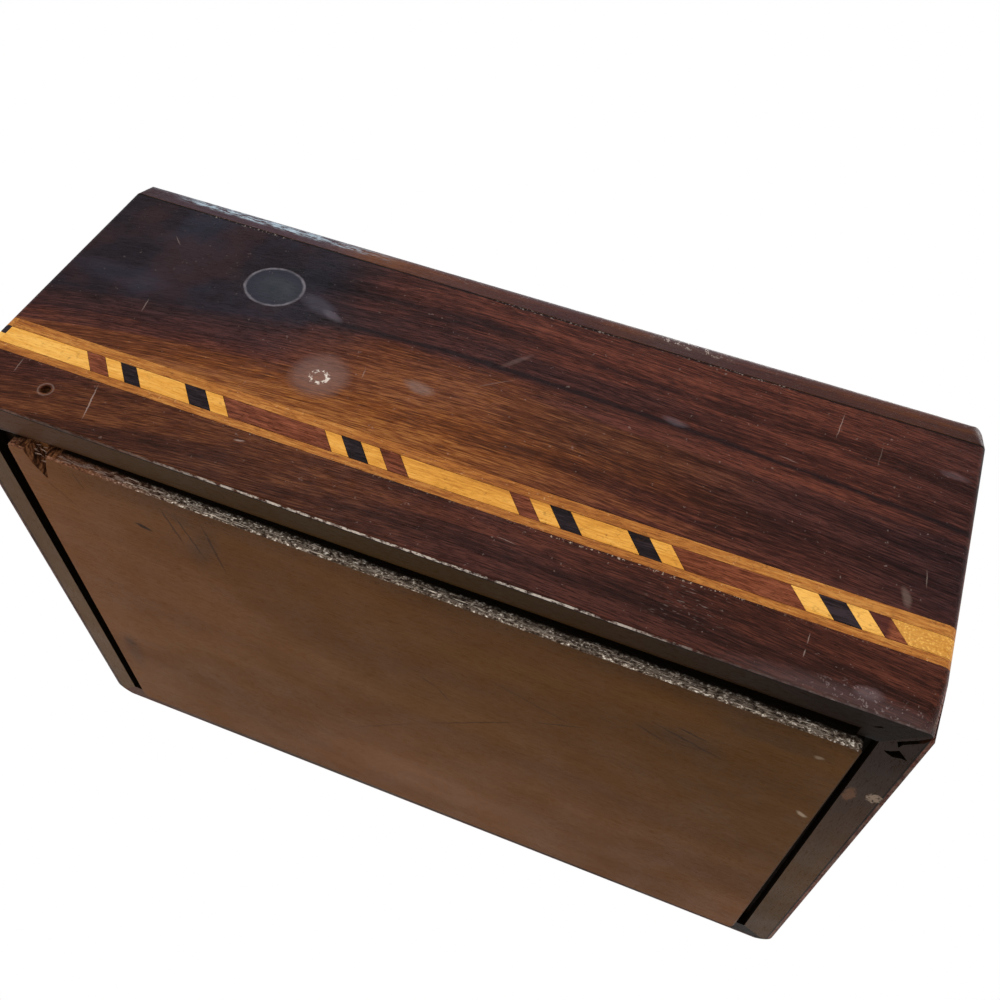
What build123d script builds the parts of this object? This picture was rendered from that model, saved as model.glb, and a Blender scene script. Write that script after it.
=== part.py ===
"""Inlaid playing card box with a hinged lid, in millimetres.

The origin is under the middle of the box, +Z is up and the front wall faces -Y.
The box stands on a base panel that is proud of the wall edges. Four veneered walls
are mitred round a bottom board and a divider, so that two decks lie side by side.
A band of slanted pieces is let into a groove round the walls and lapped at the corners.
The lid turns on two brass butt hinges, and bevels at the back stop it past upright.
"""

import os
from math import radians, tan

from build123d import *

# Box, whose front wall is thicker at the foot than above the floor
length = 152.0
depth = 101.4
wall = 5.0
right_wall = 6.0
front_foot = 7.0
veneer = 0.7
corner_radius = 1.3
arris_radius = 0.3
edge_z = 1.5
rim_z = 52.9

# Lid
seam = 0.1
lid_thickness = 4.0
lid_corner_radius = 4.0
lid_round = 1.9
lid_left_round = 2.5
lid_right_round = 1.0
lid_arris = 0.2

# Boards under and inside the box
panel_length = 135.0
panel_depth = 87.8
panel_thickness = 4.0
panel_radius = 1.2
panel_arris = 0.35
panel_middle = (0.7, 0.9)
panel_turn = 0.45
board_thickness = 5.0
divider_thickness = 3.4
divider_height = 38.0
divider_housing = 1.2
divider_round = 0.8

# Inlaid band, which starts this far above the lower edge of the walls
band_rise = 10.0
lower_line_height = 1.45
pieces_height = 3.4
upper_line_height = 1.9
joint_lean = 2.95
inlay_depth = 1.7
glue_joint = 0.07

# Butt hinges
hinge_length = 20.0
hinge_offset = 45.0
barrel_radius = 1.2
pin_radius = 0.6
pin_chamfer = 0.12
box_bore_radius = 0.61
lid_bore_radius = 0.64
middle_knuckle = 7.7
knuckle_gap = 0.15
leaf_thickness = 0.6
leaf_width = 3.5
hinge_clearance = 0.15
stop_bevel = 50.0

# Countersunk screws
screw_offset = 6.5
screw_inset = 2.3
head_radius = 0.95
shank_radius = 0.5
box_screw_length = 4.2
lid_screw_length = 3.2
screw_clearance = 0.02
slot_width = 0.3
slot_depth = 0.2

# Wear
foot_wear_height = 8.0
front_foot_radius = 3.3
back_foot_radius = 4.5
inner_wear_radii = [(-70.0, 0.7), (-55.0, 2.0), (67.0, 2.6)]
nail_hole_radius = 0.8
nail_hole_depth = 9.0
nail_hole_place = (-61.4, 7.1)
chip_outline = [
    (-63.3, -46.5), (-58.6, -46.5), (-58.9, -43.8), (-60.1, -40.4), (-60.9, -36.9),
    (-62.7, -40.4), (-63.3, -43.9),
]
chip_depth = 2.4
chip_taper = 25.0
crack_outline = [
    (77.0, -51.3), (75.4, -49.3), (74.0, -47.4), (71.9, -45.3), (72.5, -43.9), (72.8, -45.0),
    (74.9, -47.2), (75.3, -48.3), (77.0, -50.9),
]
crack_depth = 6.0
splinter_outline = [
    (71.2, -41.9), (72.1, -42.4), (72.9, -43.2), (73.6, -42.4), (74.6, -41.2), (73.7, -41.3),
    (72.7, -40.9), (71.6, -41.5),
]
splinter_depth = 2.6
slit_outline = [(68.1, -46.9), (69.0, -47.7), (69.6, -47.6), (68.8, -47.1)]
slit_depth = 1.2

# Levels and places worked out from the above
inner_left = wall - length / 2
inner_right = length / 2 - right_wall
inner_length = inner_right - inner_left
inner_depth = depth - 2 * wall
well_middle = (inner_left + inner_right) / 2
foot_y = front_foot - depth / 2
ledge = front_foot - wall
floor_z = panel_thickness + board_thickness
lid_z = rim_z + seam
band_z = edge_z + band_rise
pieces_z = band_z + lower_line_height
upper_line_z = pieces_z + pieces_height
band_top_z = upper_line_z + upper_line_height
back_y = depth / 2
hinge_y = back_y - barrel_radius
hinge_z = rim_z + seam / 2
leaf_y = hinge_y - leaf_width
notch_y = hinge_y - barrel_radius - hinge_clearance
screw_y = hinge_y - screw_inset
outer_knuckle = (hinge_length - middle_knuckle) / 2 - knuckle_gap
outer_knuckle_x = (hinge_length - outer_knuckle) / 2
hinges = {"left": -hinge_offset, "right": hinge_offset}
screw_places = [(x + s, screw_y) for x in hinges.values() for s in (-screw_offset, screw_offset)]

# The band on the front from its left end: each wood and the width of its piece
front_pieces = [
    ("pale", 15.5), ("red", 3.3), ("pale", 2.8), ("black", 2.8), ("pale", 8.6),
    ("black", 3.6), ("pale", 3.1), ("red", 17.3), ("pale", 2.8), ("black", 3.2),
    ("pale", 3.1), ("red", 3.4), ("pale", 17.4), ("red", 3.1), ("pale", 3.2),
    ("black", 3.2), ("pale", 8.6), ("black", 3.3), ("pale", 3.3), ("red", 17.3),
    ("pale", 3.9), ("black", 3.9), ("pale", 3.1), ("red", 3.1), ("pale", 9.1),
]
# The same repeat as it was laid out, for the other walls
repeat = [
    ("red", 3.1), ("pale", 3.1), ("black", 3.4), ("pale", 8.5), ("black", 3.4), ("pale", 3.1),
    ("red", 17.1), ("pale", 3.1), ("black", 3.4), ("pale", 3.1), ("red", 3.1), ("pale", 17.1),
]
repeat_length = sum(width for wood, width in repeat)

# Each wall: the middle of its outer face, the way along it seen from outside, its
# length, its thickness, and where the first whole repeat of the band starts
sides = {
    "front": ((0, -depth / 2), (1, 0), length, front_foot, None),
    "right": ((length / 2, 0), (0, 1), depth, right_wall, 12.0),
    "back": ((0, depth / 2), (-1, 0), length, wall, 15.5),
    "left": ((-length / 2, 0), (0, -1), depth, wall, 22.2),
}
# How thick the walls are that meet each wall at its left and its right end
meeting = {
    "front": (wall, right_wall),
    "right": (front_foot, wall),
    "back": (right_wall, wall),
    "left": (wall, front_foot),
}

os.makedirs("parts", exist_ok=True)


def save(part, name):
    """Label a finished piece and write it under its name."""
    part.label = name
    export_step(part, f"parts/{name}.step")


def plan_plane(side, z):
    """The level plane at z, with X along the wall and Y from its outer face inwards."""
    middle, along = sides[side][:2]
    return Plane(origin=(*middle, z), x_dir=(*along, 0), z_dir=(0, 0, 1))


def face_plane(side, inset=0.0):
    """The wall's outer face seen from outside with Y up, or a plane inset from it."""
    middle, along = sides[side][:2]
    face = Plane(origin=(*middle, 0), x_dir=(*along, 0), z_dir=(along[1], -along[0], 0))
    return face.offset(-inset)


def core(side):
    """The solid wood of a wall, mitred at both ends."""
    half = sides[side][2] / 2
    thickness = sides[side][3]
    left_meeting, right_meeting = meeting[side]
    with BuildPart() as block:
        with BuildSketch(plan_plane(side, edge_z)):
            with BuildLine():
                Polyline(
                    (veneer - half, veneer),
                    (half - veneer, veneer),
                    (half - right_meeting, thickness),
                    (left_meeting - half, thickness),
                    close=True,
                )
            make_face()
        extrude(amount=rim_z - edge_z)
    return block.part


def strip(side, outline, bottom, top):
    """A strip with this plan on one wall, rounded where it reaches a corner of the box."""
    half = sides[side][2] / 2
    to_middle = (length + depth) / 2 - half
    with BuildPart() as piece:
        with BuildSketch(plan_plane(side, bottom)):
            with BuildLine():
                Polyline(*outline, close=True)
            make_face()
            with Locations((0, to_middle)):
                RectangleRounded(2 * half, 2 * to_middle, corner_radius, mode=Mode.INTERSECT)
        extrude(amount=top - bottom)
    return piece.part


def skin(side, bottom, top):
    """Veneer on one wall, mitred at both ends."""
    half = sides[side][2] / 2
    outline = [(-half, 0), (half, 0), (half - veneer, veneer), (veneer - half, veneer)]
    return strip(side, outline, bottom, top)


def inlay(side, bottom, top):
    """A course of one wall's band, clear of its neighbours by half a glue joint.

    It laps the end of the next wall's band at its right.
    """
    half = sides[side][2] / 2
    butt = inlay_depth - half
    outline = [(butt, 0), (half, 0), (half, inlay_depth), (butt, inlay_depth)]
    return strip(side, outline, bottom + glue_joint / 2, top - glue_joint / 2)


def band_layout(side):
    """The wood, start and end of each piece, from the wall's left end."""
    run, first = sides[side][2], sides[side][4]
    pieces = front_pieces if first is None else repeat * 4
    start = 0.0 if first is None else first - repeat_length
    layout = []
    for wood, width in pieces:
        if start + width + joint_lean > 0 and start < run:
            layout.append((wood, start, start + width))
        start += width
    return layout


def band_pieces(side, course, wood):
    """The pieces of one wood in one wall's band, cut from its course with slanted joints."""
    left = glue_joint / 2 - sides[side][2] / 2
    with BuildPart() as pieces:
        add(course)
        with BuildSketch(face_plane(side, inlay_depth)):
            for piece_wood, start, end in band_layout(side):
                if piece_wood == wood:
                    # The piece that starts at the corner fills it down to the lower line
                    lean = 0 if start == 0 else joint_lean
                    right = left + end - glue_joint
                    with BuildLine():
                        Polyline(
                            (left + start, upper_line_z),
                            (right, upper_line_z),
                            (right + joint_lean, pieces_z),
                            (left + start + lean, pieces_z),
                            close=True,
                        )
                    make_face()
        extrude(amount=inlay_depth, mode=Mode.INTERSECT)
    return pieces.part


def hinge_leaf(middle_x, plate_z, knuckles, bore_radius, screws_face):
    """A leaf let into a wall or the lid, with its knuckles on the hinge line."""
    first_x = middle_x - hinge_length / 2
    plate_middle_z = plate_z + leaf_thickness / 2
    with BuildPart() as leaf:
        with BuildSketch(Plane.YZ.offset(first_x)):
            with Locations(((leaf_y + notch_y) / 2, plate_middle_z)):
                Rectangle(notch_y - leaf_y, leaf_thickness)
        extrude(amount=hinge_length)
        for knuckle_x, knuckle_length in knuckles:
            with BuildSketch(Plane.YZ.offset(middle_x + knuckle_x - knuckle_length / 2)):
                with Locations((hinge_y, hinge_z)):
                    Circle(barrel_radius)
                with Locations(((leaf_y + hinge_y) / 2, plate_middle_z)):
                    Rectangle(leaf_width, leaf_thickness)
                with Locations((hinge_y, hinge_z)):
                    Circle(bore_radius, mode=Mode.SUBTRACT)
            extrude(amount=knuckle_length)
        for screw_x in (-screw_offset, screw_offset):
            with Locations(screws_face * Location((middle_x + screw_x, 0, 0))):
                CounterSinkHole(shank_radius + screw_clearance, head_radius + screw_clearance)
    return leaf.part


def screw(screw_length):
    """A slotted countersunk screw that points down from the origin."""
    head_depth = head_radius - shank_radius
    with BuildPart() as body:
        with BuildSketch(Plane.XZ):
            with BuildLine():
                Polyline(
                    (0, 0),
                    (head_radius, 0),
                    (shank_radius, -head_depth),
                    (shank_radius, -screw_length),
                    (0, -screw_length),
                    close=True,
                )
            make_face()
        revolve(axis=Axis.Z)
        with BuildSketch(Plane.XY.offset(-slot_depth)):
            Rectangle(2 * head_radius, slot_width)
        extrude(amount=slot_depth, mode=Mode.SUBTRACT)
    return body.part


# Groove round the walls for the band
with BuildPart() as groove:
    with BuildSketch(Plane.XY.offset(band_z)):
        Rectangle(length, depth)
        Rectangle(length - 2 * inlay_depth, depth - 2 * inlay_depth, mode=Mode.SUBTRACT)
    extrude(amount=band_top_z - band_z)

# What is worn off the four corners at the foot, most at the back
with BuildPart() as foot_wear:
    with BuildSketch(Plane.XY.offset(edge_z)):
        Rectangle(length, depth)
    extrude(amount=foot_wear_height)
    with BuildSketch(Plane.XY.offset(edge_z)) as foot_outline:
        Rectangle(length, depth)
        fillet(foot_outline.vertices().group_by(Axis.Y)[0], front_foot_radius)
        fillet(foot_outline.vertices().group_by(Axis.Y)[-1], back_foot_radius)
    with BuildSketch(Plane.XY.offset(edge_z + foot_wear_height)):
        RectangleRounded(length, depth, corner_radius)
    loft(ruled=True, mode=Mode.SUBTRACT)

# What is cut off the inside of the front wall above the floor, which leaves a thicker foot
with BuildPart() as front_rebate:
    with BuildSketch(Plane.XY.offset(floor_z)):
        with Locations((well_middle, foot_y - ledge / 2)):
            Rectangle(inner_length, ledge)
    extrude(amount=rim_z - floor_z)

# What is worn off the inner arris of the front wall's foot, more towards the right
with BuildPart() as inner_wear:
    for x, radius in inner_wear_radii:
        with BuildSketch(Plane.YZ.offset(x)):
            with Locations((foot_y - radius / 2, edge_z + radius / 2)):
                Rectangle(radius, radius)
            with Locations((foot_y - radius, edge_z + radius)):
                Circle(radius, mode=Mode.SUBTRACT)
    loft(ruled=True)

# Nail hole through the front wall into the bottom board
with BuildPart() as nail_hole:
    with BuildSketch(face_plane("front")):
        with Locations(nail_hole_place):
            Circle(nail_hole_radius)
    extrude(amount=-nail_hole_depth)

# Open crack beside the mitre of the front right corner
with BuildPart() as corner_crack:
    with BuildSketch(Plane.XY.offset(edge_z)):
        with BuildLine():
            Polyline(*crack_outline, close=True)
        make_face()
    extrude(amount=crack_depth)

# Hollow where a splinter is lost behind the crack
with BuildPart() as splinter:
    with BuildSketch(Plane.XY.offset(edge_z)):
        with BuildLine():
            Polyline(*splinter_outline, close=True)
        make_face()
    extrude(amount=splinter_depth)

# Short slit in front of it
with BuildPart() as slit:
    with BuildSketch(Plane.XY.offset(edge_z)):
        with BuildLine():
            Polyline(*slit_outline, close=True)
        make_face()
    extrude(amount=slit_depth)

# Bevel along the back of the rim, which meets the lid's bevel at the stop
with BuildPart() as rim_bevel:
    with BuildSketch(Plane.YZ.offset(-length / 2)):
        with BuildLine():
            Polyline(
                (hinge_y, rim_z),
                (back_y, rim_z - barrel_radius * tan(radians(stop_bevel))),
                (back_y, rim_z),
                close=True,
            )
        make_face()
    extrude(amount=length)

# Bevel along the back of the lid
with BuildPart() as lid_bevel:
    with BuildSketch(Plane.YZ.offset(-length / 2)):
        with BuildLine():
            Polyline(
                (hinge_y, lid_z),
                (back_y, lid_z + barrel_radius * tan(radians(stop_bevel))),
                (back_y, lid_z),
                close=True,
            )
        make_face()
    extrude(amount=length)


def hinge_recesses(face_z, way, screw_length):
    """Mortises, barrel pockets and pilot holes, cut upwards or downwards from a face."""
    face = Plane(origin=(0, 0, face_z), x_dir=(1, 0, 0), z_dir=(0, 0, way))
    pocket_depth = barrel_radius + hinge_clearance - seam / 2
    with BuildPart() as recesses:
        for x in hinges.values():
            with BuildSketch(face):
                with Locations((x, way * (leaf_y + back_y) / 2)):
                    Rectangle(hinge_length, back_y - leaf_y)
            extrude(amount=leaf_thickness)
            with BuildSketch(face):
                with Locations((x, way * (notch_y + back_y) / 2)):
                    Rectangle(hinge_length + 2 * hinge_clearance, back_y - notch_y)
            extrude(amount=pocket_depth)
        with BuildSketch(face):
            with Locations(*[(x, way * y) for x, y in screw_places]):
                Circle(shank_radius + screw_clearance)
        extrude(amount=screw_length + screw_clearance)
    return recesses.part


rim_recesses = hinge_recesses(rim_z, -1, box_screw_length)
lid_recesses = hinge_recesses(lid_z, 1, lid_screw_length)

# Housings in the front and back walls that hold the divider
with BuildPart() as housings:
    with BuildSketch(Plane.XY.offset(floor_z)):
        with Locations((well_middle, 0)):
            Rectangle(divider_thickness, inner_depth + 2 * divider_housing)
    extrude(amount=divider_height)

# What is cut out of each wall and out of its veneer, besides the groove and the foot's wear
wall_cuts = {
    "front": [front_rebate.part, housings.part, nail_hole.part, inner_wear.part, slit.part],
    "right": [corner_crack.part, splinter.part, rim_bevel.part],
    "back": [housings.part, rim_recesses, rim_bevel.part],
    "left": [rim_bevel.part],
}
veneer_cuts = {
    "front": [nail_hole.part],
    "right": [corner_crack.part, rim_bevel.part],
    "back": [rim_recesses, rim_bevel.part],
    "left": [rim_bevel.part],
}

for side in sides:
    # Wall of solid wood
    core_block = core(side)
    with BuildPart() as side_wall:
        add(core_block)
        add([groove.part, foot_wear.part, *wall_cuts[side]], mode=Mode.SUBTRACT)
    save(side_wall.part, f"{side}_wall")

    # Veneer above and below the band, its lower arris worn round
    field = skin(side, band_top_z, rim_z)
    foot = skin(side, edge_z, band_z)
    with BuildPart() as side_veneer:
        add(foot)
        outward = Axis((0, 0, 0), face_plane(side).z_dir)
        outer_face = side_veneer.faces().sort_by(outward).last
        fillet(outer_face.edges().sort_by(Axis.Z).first, radius=arris_radius)
        add(field)
        add([foot_wear.part, *veneer_cuts[side]], mode=Mode.SUBTRACT)
    save(side_veneer.part, f"{side}_veneer")

    # Edge lines of the band
    save(inlay(side, band_z, pieces_z), f"{side}_band_lower_line")
    save(inlay(side, upper_line_z, band_top_z), f"{side}_band_upper_line")

    # Slanted pieces between the lines, one node for each wood
    middle_course = inlay(side, pieces_z, upper_line_z)
    for wood in ("pale", "red", "black"):
        save(band_pieces(side, middle_course, wood), f"{side}_band_{wood}_pieces")

# Bottom board, pinned between the walls
with BuildPart() as bottom_board:
    with BuildSketch(Plane.XY.offset(panel_thickness)):
        with Locations((well_middle, ledge / 2)):
            Rectangle(inner_length, inner_depth - ledge)
    extrude(amount=board_thickness)
    add(nail_hole.part, mode=Mode.SUBTRACT)
save(bottom_board.part, "bottom_board")

# Base panel, glued on slightly askew, with a chip torn from its front edge
with BuildPart() as base_panel:
    with BuildSketch():
        with Locations(Location(panel_middle, panel_turn)):
            RectangleRounded(panel_length, panel_depth, panel_radius)
    extrude(amount=panel_thickness)
    chamfer(base_panel.faces().sort_by(Axis.Z).first.edges(), length=panel_arris)
    with BuildSketch():
        with BuildLine():
            Polyline(*chip_outline, close=True)
        make_face()
    extrude(amount=chip_depth, taper=chip_taper, mode=Mode.SUBTRACT)
save(base_panel.part, "base_panel")

# Divider between the two decks, with a rounded top edge
with BuildPart() as divider:
    with BuildSketch(Plane.XY.offset(floor_z)):
        with Locations((well_middle, 0)):
            Rectangle(divider_thickness, inner_depth + 2 * divider_housing)
    extrude(amount=divider_height)
    top_edges = divider.faces().sort_by(Axis.Z).last.edges().filter_by(Axis.Y)
    fillet(top_edges, radius=divider_round)
save(divider.part, "divider")

# Lid board, its front edge worn more at the left and its front corners towards the top
lid_middle_z = lid_z + lid_thickness / 2
with BuildPart() as lid_board:
    for x, radius in ((-length / 2, lid_left_round), (length / 2, lid_right_round)):
        with BuildSketch(Plane.YZ.offset(x)) as end_profile:
            with Locations((0, lid_middle_z)):
                Rectangle(depth, lid_thickness)
            lower, upper = end_profile.vertices().group_by(Axis.Y)
            top_front, top_back = upper.sort_by(Axis.X)
            fillet(top_front, radius)
            fillet(top_back, lid_round)
            chamfer(lower, lid_arris)
    loft(ruled=True)
    with BuildSketch(Plane.XZ) as front_profile:
        with Locations((0, lid_middle_z)):
            Rectangle(length, lid_thickness)
        lower, upper = front_profile.vertices().group_by(Axis.Y)
        fillet(upper, lid_round)
        chamfer(lower, lid_arris)
    extrude(amount=depth / 2, both=True, mode=Mode.INTERSECT)
    for z, radius in ((lid_z, corner_radius), (lid_z + lid_thickness, lid_corner_radius)):
        with BuildSketch(Plane.XY.offset(z)) as outline:
            Rectangle(length, depth)
            front_corners, back_corners = outline.vertices().group_by(Axis.Y)
            fillet(front_corners, radius)
            fillet(back_corners, corner_radius)
    loft(ruled=True, mode=Mode.INTERSECT)
    add([lid_bevel.part, lid_recesses], mode=Mode.SUBTRACT)
save(lid_board.part, "lid_board")

# Faces of the two leaves that the screw heads are sunk in
box_leaf_face = Location(Plane(origin=(0, screw_y, rim_z)))
lid_leaf_face = Location(Plane(origin=(0, screw_y, lid_z), x_dir=(1, 0, 0), z_dir=(0, 0, -1)))
outer_knuckles = [(-outer_knuckle_x, outer_knuckle), (outer_knuckle_x, outer_knuckle)]

for name, x in hinges.items():
    # Leaf in the rim, with the two outer knuckles
    box_leaf = hinge_leaf(x, rim_z - leaf_thickness, outer_knuckles, box_bore_radius, box_leaf_face)
    save(box_leaf, f"{name}_hinge_box_leaf")

    # Leaf in the lid, with the middle knuckle
    lid_leaf = hinge_leaf(x, lid_z, [(0, middle_knuckle)], lid_bore_radius, lid_leaf_face)
    save(lid_leaf, f"{name}_hinge_lid_leaf")

    # Pin with chamfered ends, held by the outer knuckles
    with BuildPart() as hinge_pin:
        with BuildSketch(Plane.YZ.offset(x - hinge_length / 2)):
            with Locations((hinge_y, hinge_z)):
                Circle(pin_radius)
        extrude(amount=hinge_length)
        chamfer(hinge_pin.edges().filter_by(GeomType.CIRCLE), length=pin_chamfer)
    save(hinge_pin.part, f"{name}_hinge_pin")

# Screws of both hinges, in the box
box_screw = screw(box_screw_length)
with BuildPart() as box_screws:
    with Locations(*[(x, y, rim_z) for x, y in screw_places]):
        add(box_screw)
save(box_screws.part, "hinge_screws_in_box")

# Screws of both hinges, in the lid
lid_screw = screw(lid_screw_length)
with BuildPart() as lid_screws:
    with Locations(*[Location((x, y, lid_z), (180, 0, 0)) for x, y in screw_places]):
        add(lid_screw)
save(lid_screws.part, "hinge_screws_in_lid")
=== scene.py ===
# %% [markdown]
# # A small inlaid playing card box
#
# The box is made of thin boards, veneered outside with a dark figured wood, with a band
# of slanted coloured woods let in all the way round. Its lid opens on two small hinges at
# the back. The solids come from the CAD model and stay as they are. This file gives them
# their woods and their wear, adds the splinters that are too fine for solids, and sets
# the lamps, the floor and the camera.

# %% Load the solids
import math
import random

import bmesh
import bpy
from mathutils import Matrix, Vector


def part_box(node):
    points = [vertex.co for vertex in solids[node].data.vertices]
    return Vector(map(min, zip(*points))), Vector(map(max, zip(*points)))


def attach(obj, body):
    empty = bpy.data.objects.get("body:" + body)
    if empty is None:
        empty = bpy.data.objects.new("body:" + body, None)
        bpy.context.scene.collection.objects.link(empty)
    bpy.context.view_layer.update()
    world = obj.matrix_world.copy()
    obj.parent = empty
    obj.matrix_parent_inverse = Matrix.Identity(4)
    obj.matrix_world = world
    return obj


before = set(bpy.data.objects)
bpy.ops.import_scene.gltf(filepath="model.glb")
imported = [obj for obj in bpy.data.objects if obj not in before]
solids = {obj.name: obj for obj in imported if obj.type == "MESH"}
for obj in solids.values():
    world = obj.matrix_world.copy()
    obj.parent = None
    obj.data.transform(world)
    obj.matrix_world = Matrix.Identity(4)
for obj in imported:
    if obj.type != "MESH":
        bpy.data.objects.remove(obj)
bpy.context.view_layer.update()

MM = 0.001

# %% [markdown]
# ## Where the eye stands
#
# The photograph was taken while the box lay on its back wall, so the camera sees the
# front wall and the underside. The box stands upright here, because that is how it is
# used and how its lid opens. So the camera goes below the box and in front of it, and
# looks up with its head tilted. A camera could be turned by three angles, but a point to
# look at and a roll about that line are easier to read and to correct.

# %% Camera
IMAGE_WIDTH = 1000
FOCAL_PIXELS = 1055.3
AXIS_PIXEL = 546.1
SENSOR_WIDTH = 36.0
NEAREST = 0.01
camera_place = Vector((42.7, -173.2, -70.8)) * MM
camera_target = Vector((10.05, -20.95, 38.2)) * MM
camera_roll = math.radians(25.35)

lens = bpy.data.cameras.new("box_camera")
lens.sensor_width = SENSOR_WIDTH
lens.lens = FOCAL_PIXELS / IMAGE_WIDTH * SENSOR_WIDTH
lens.shift_x = (IMAGE_WIDTH / 2 - AXIS_PIXEL) / IMAGE_WIDTH
lens.clip_start = NEAREST
camera = bpy.data.objects.new("box_camera", lens)
bpy.context.collection.objects.link(camera)
camera.location = camera_place
look = (camera_target - camera_place).to_track_quat("-Z", "Y").to_matrix()
camera.rotation_euler = (look @ Matrix.Rotation(camera_roll, 3, "Z")).to_euler()
bpy.context.scene.camera = camera
print("lens", round(lens.lens, 2), "mm, shift", round(lens.shift_x, 4))

# %% [markdown]
# ## Colours and nodes
#
# Colours are given as sRGB hex values, the way a screen shows them. Blender works
# in linear light, so one function turns them. A second function adds a shader node, fills
# its sockets in order and gives back an output, so that a pattern can be written as a few
# short lines instead of being wired up by hand.

# %% Colour and node helpers
def linear(hex_colour):
    """The linear colour of an sRGB hex value."""
    shown = [int(hex_colour[i : i + 2], 16) / 255 for i in (1, 3, 5)]
    return (*[c / 12.92 if c <= 0.04045 else ((c + 0.055) / 1.055) ** 2.4 for c in shown], 1.0)


def add(tree, kind, *inputs, out=0, stops=(), named=None, **settings):
    """Adds one node. inputs fill its sockets in order, and None keeps a socket's own value."""
    made = tree.nodes.new("ShaderNode" + kind)
    for name, value in settings.items():
        setattr(made, name, value)
    for place, hex_colour in stops[2:]:
        made.color_ramp.elements.new(place)
    for stop, (place, hex_colour) in zip(made.color_ramp.elements if stops else (), stops):
        stop.position = place
        stop.color = linear(hex_colour)
    sockets = [s for s in made.inputs if s.enabled]
    pairs = list(zip(sockets, inputs)) + [(made.inputs[k], v) for k, v in (named or {}).items()]
    for socket, value in pairs:
        if isinstance(value, bpy.types.NodeSocket):
            tree.links.new(value, socket)
        elif value is not None:
            socket.default_value = value
    if isinstance(out, str):
        return made.outputs[out]
    usable = [s for s in made.outputs if s.enabled]
    return usable[out] if usable else None


print("white is", linear("#ffffff"))

# %% [markdown]
# ## Background
#
# The picture has a plain white ground. A white backdrop could be built, but the world is
# simpler: white to the camera and in reflections, and a soft grey to everything else, so
# that it doesn't flood the wood with light.

# %% World
WORLD_FILL = 0.55
scene = bpy.context.scene
scene.view_settings.view_transform = "Standard"
scene.world = bpy.data.worlds.new("soft_studio")
scene.world.use_nodes = True
sky = scene.world.node_tree
sky.nodes.clear()
rays = add(sky, "LightPath", out="Is Camera Ray")
seen = add(sky, "Math", rays, rays.node.outputs["Is Glossy Ray"], operation="MAXIMUM")
seen = add(sky, "Math", seen, rays.node.outputs["Is Transmission Ray"], operation="MAXIMUM")
fill = add(sky, "Background", linear("#ffffff"), WORLD_FILL)
white = add(sky, "Background", linear("#ffffff"), 1.0)
add(sky, "OutputWorld", add(sky, "MixShader", seen, fill, white))
print("world fill", WORLD_FILL)

# %% [markdown]
# ## Floor
#
# The floor is a pale disc just under the box, and it fades out into the white. The camera
# of the photograph looks up through it, so its underside is clear. Seen from above it is
# an ordinary floor that catches the shadow of the box.

# %% Floor
FLOOR_RADIUS = 600 * MM
FLOOR_GAP = 0.15 * MM
FLOOR_SIDES = 96
FADE_END = 0.5
disc = bmesh.new()
bmesh.ops.create_circle(disc, cap_ends=True, segments=FLOOR_SIDES, radius=FLOOR_RADIUS)
floor_mesh = bpy.data.meshes.new("pale_floor")
disc.to_mesh(floor_mesh)
disc.free()
floor = bpy.data.objects.new("pale_floor", floor_mesh)
bpy.context.collection.objects.link(floor)
floor.location.z = -FLOOR_GAP
for ray in ("diffuse", "glossy", "transmission", "shadow"):
    setattr(floor, "visible_" + ray, False)

pale = bpy.data.materials.new("pale_matt_floor")
pale.use_nodes = True
ground = pale.node_tree
ground.nodes.clear()
reach = add(ground, "TexCoord", out="Object")
reach = add(ground, "Mapping", reach, None, None, (FLOOR_RADIUS,) * 3, vector_type="TEXTURE")
reach = add(ground, "TexGradient", reach, out=1, gradient_type="SPHERICAL")
solid = add(ground, "MapRange", reach, 0.0, FADE_END)
clear = add(ground, "Math", 1.0, solid, operation="SUBTRACT")
clear = add(ground, "Math", clear, add(ground, "NewGeometry", out="Backfacing"), operation="MAXIMUM")
matt = add(ground, "BsdfDiffuse", linear("#f6f5f3"), 0.0)
add(ground, "OutputMaterial", add(ground, "MixShader", clear, matt, add(ground, "BsdfTransparent")))
floor_mesh.materials.append(pale)
print("floor at", -FLOOR_GAP / MM, "mm")

# %% [markdown]
# ## Lamps
#
# Soft panels of light stand round the box, as in a small studio. The cool one at the upper
# left is the window that puts a bluish sheen on the dark veneer. A warm one low in front
# shows the underside. The others keep the top, the ends and the back from going dark,
# because the box is looked at from every side.

# %% Soft lamps
lamps = {
    # name: place, size and power in metres and watts, colour
    "window_lamp": ((-0.27, -0.68, 0.46), (0.40, 0.30), 2.4, "#e6edff"),
    "front_lamp": ((0.22, -0.75, 0.10), (0.50, 0.40), 3.0, "#fff1de"),
    "low_lamp": ((-0.34, -0.10, -0.52), (0.35, 0.35), 2.2, "#fff0dc"),
    "top_lamp": ((0.15, 0.10, 0.80), (0.60, 0.60), 4.5, "#ffffff"),
    "right_lamp": ((0.75, 0.10, 0.25), (0.40, 0.40), 2.4, "#ffffff"),
    "back_lamp": ((-0.20, 0.75, 0.30), (0.50, 0.40), 3.0, "#ffffff"),
}
for name, (place, size, power, glow) in lamps.items():
    lamp = bpy.data.lights.new(name, "AREA")
    lamp.shape = "RECTANGLE"
    lamp.size, lamp.size_y = size
    lamp.energy = power
    lamp.color = linear(glow)[:3]
    stand = bpy.data.objects.new(name, lamp)
    stand.location = place
    stand.rotation_euler = (-Vector(place)).to_track_quat("-Z", "Y").to_euler()
    bpy.context.collection.objects.link(stand)
print(len(lamps), "lamps")

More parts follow.
